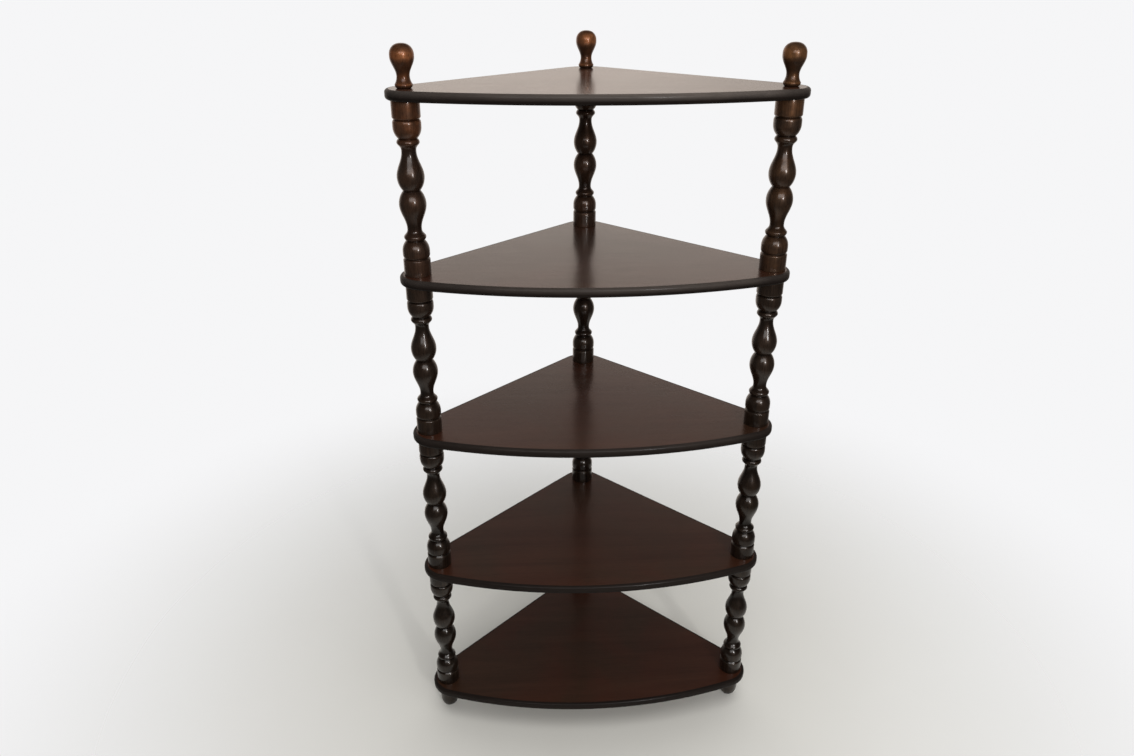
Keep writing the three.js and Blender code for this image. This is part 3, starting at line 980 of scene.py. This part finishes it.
# necks darken as gathered stain and as painted shade
thin = calc(tree, "MULTIPLY", attribute(tree, "slim"), SLIM_SHADE)
stain = place_group(
    tree,
    stain_group,
    {
        "Place": place,
        **mix_browns(tree, TURNED_BROWNS, faded_and_lit, painted_light_by_height, attribute(tree, "olive")),
        "Figure": grain["Figure"],
        "Fibres": grain["Fibres"],
        "Pores": grain["Pores"],
        "Hollow": calc(tree, "MAXIMUM", attribute(tree, "hollow"), thin),
        "Crest": attribute(tree, "crest"),
    },
)
skin = place_group(tree, lacquer_group, {"Place": place, "Glossy": 0.34, "Dull": 0.44, "Ripple Scale": 140.0})
relief = calc(tree, "MULTIPLY_ADD", grain["Height"], 0.35, third=skin["Height"])
bump = add_node(tree, "ShaderNodeBump", {"Height": relief, "Strength": 0.035, "Distance": 0.0006})
surface = add_node(
    tree,
    "ShaderNodeBsdfPrincipled",
    {
        "Base Color": stain["Color"],
        "Roughness": skin["Roughness"],
        "Metallic": calc(tree, "MULTIPLY_ADD", faded_and_lit, -0.1, third=0.6),
        "Specular IOR Level": 0.1,
        "Normal": bump.outputs["Normal"],
        "Coat Weight": calc(tree, "MULTIPLY_ADD", faded_and_lit, -0.35, third=0.75),
        "Coat Roughness": 0.17,
    },
)
add_node(tree, "ShaderNodeOutputMaterial", {"Surface": surface.outputs[0]})
for piece in turned_pieces:
    piece.data.materials.clear()
    piece.data.materials.append(turned_wood)
print("turned wood on", len(turned_pieces), "pieces")

# %% [markdown]
# The boards are faced with a brown veneer under a satin lacquer, redder in broad clouds, and their edge is
# painted nearly black. The veneer's grain runs from side to side, so a Mapping node turns the place until its
# Z lies along X. The rim attribute mixes the edge colours in and takes the gloss off, and the second edge mark
# greys the upper rounding, as dust and as a painted sheen of light from above. A fine speckle in the gloss
# breaks up what the flats reflect.

# %% Make the board material
# veneer, veneer where it is redder, edge, and edge under dust and painted sheen
BOARD_BROWNS = {
    "Deep": ("2c1c13", "321a11", "181311", "49433f"),
    "Mid": ("352217", "3c2116", "1f1916", "59514c"),
    "Light": ("40291c", "472719", "29211c", "6a6059"),
}

shelf_board, tree = new_material("shelf_board")
place = add_node(tree, "ShaderNodeTexCoord").outputs["Object"]
along_x = add_node(tree, "ShaderNodeMapping", {"Vector": place, "Rotation": (0.0, math.pi / 2, 0.0)}).outputs[0]
grain = place_group(tree, grain_group, {"Place": along_x, "Figure Scale": 16.0, "Fibre Scale": 330.0})
rim = attribute(tree, "rim")
redness = ramp(tree, noise(tree, place, scale=6.0, detail=5.0, distortion=0.6), 0.35, 0.65)
stain = place_group(
    tree,
    stain_group,
    {
        "Place": place,
        **mix_browns(tree, BOARD_BROWNS, rim, redness, attribute(tree, "dust_and_sheen")),
        "Figure": grain["Figure"],
        "Fibres": calc(tree, "MULTIPLY_ADD", grain["Fibres"], 0.5, third=0.25),
        "Pores": calc(tree, "MULTIPLY", grain["Pores"], 0.4),
    },
)
skin = place_group(tree, lacquer_group, {"Place": place, "Glossy": 0.44, "Dull": 0.52, "Ripple Scale": 90.0})
relief = calc(tree, "MULTIPLY_ADD", grain["Height"], 0.8, third=skin["Height"])
bump = add_node(tree, "ShaderNodeBump", {"Height": relief, "Strength": 0.08, "Distance": 0.0005})
speckle = calc(tree, "MULTIPLY_ADD", grain["Fibres"], 0.4, third=noise(tree, place, scale=260.0, detail=3.0))
gloss = ramp(tree, speckle, 0.35, 1.0, low=0.88, high=1.0)
coat = calc(tree, "MULTIPLY_ADD", rim, -0.85, third=1.0)
surface = add_node(
    tree,
    "ShaderNodeBsdfPrincipled",
    {
        "Base Color": stain["Color"],
        "Roughness": skin["Roughness"],
        "Specular IOR Level": 0.05,
        "Normal": bump.outputs["Normal"],
        "Coat Weight": calc(tree, "MULTIPLY", coat, gloss),
        "Coat Roughness": 0.2,
    },
)
add_node(tree, "ShaderNodeOutputMaterial", {"Surface": surface.outputs[0]})
for piece in board_pieces:
    piece.data.materials.clear()
    piece.data.materials.append(shelf_board)
print("veneer on", len(board_pieces), "boards")

# %% [markdown]
# The studs that join the turnings are out of sight in their bores, so new pieces would gain nothing. Their CAD
# rods keep their shape and get a brushed steel finish, with fine lines round the rod and a few darker stains.

# %% Finish the studs
stud_steel, tree = new_material("stud_steel")
place = add_node(tree, "ShaderNodeTexCoord").outputs["Object"]
lines = stretched_noise(tree, place, 12.0, 160.0, detail=2.0)
stains = ramp(tree, noise(tree, place, scale=90.0, detail=3.0), 0.45, 0.7)
steel_colour = blend_colours(tree, stains, paint("9f9b93"), paint("6e675e"))
bump = add_node(tree, "ShaderNodeBump", {"Height": lines, "Strength": 0.2, "Distance": 0.0003})
surface = add_node(
    tree,
    "ShaderNodeBsdfPrincipled",
    {
        "Base Color": steel_colour,
        "Metallic": 1.0,
        "Roughness": ramp(tree, lines, 0.3, 0.7, low=0.32, high=0.48),
        "Normal": bump.outputs["Normal"],
    },
)
add_node(tree, "ShaderNodeOutputMaterial", {"Surface": surface.outputs[0]})
studs = [node for name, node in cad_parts.items() if "_stud_" in name]
for node in studs:
    for material_slot in node.material_slots:
        material_slot.material = stud_steel
print("steel on", len(studs), "studs")
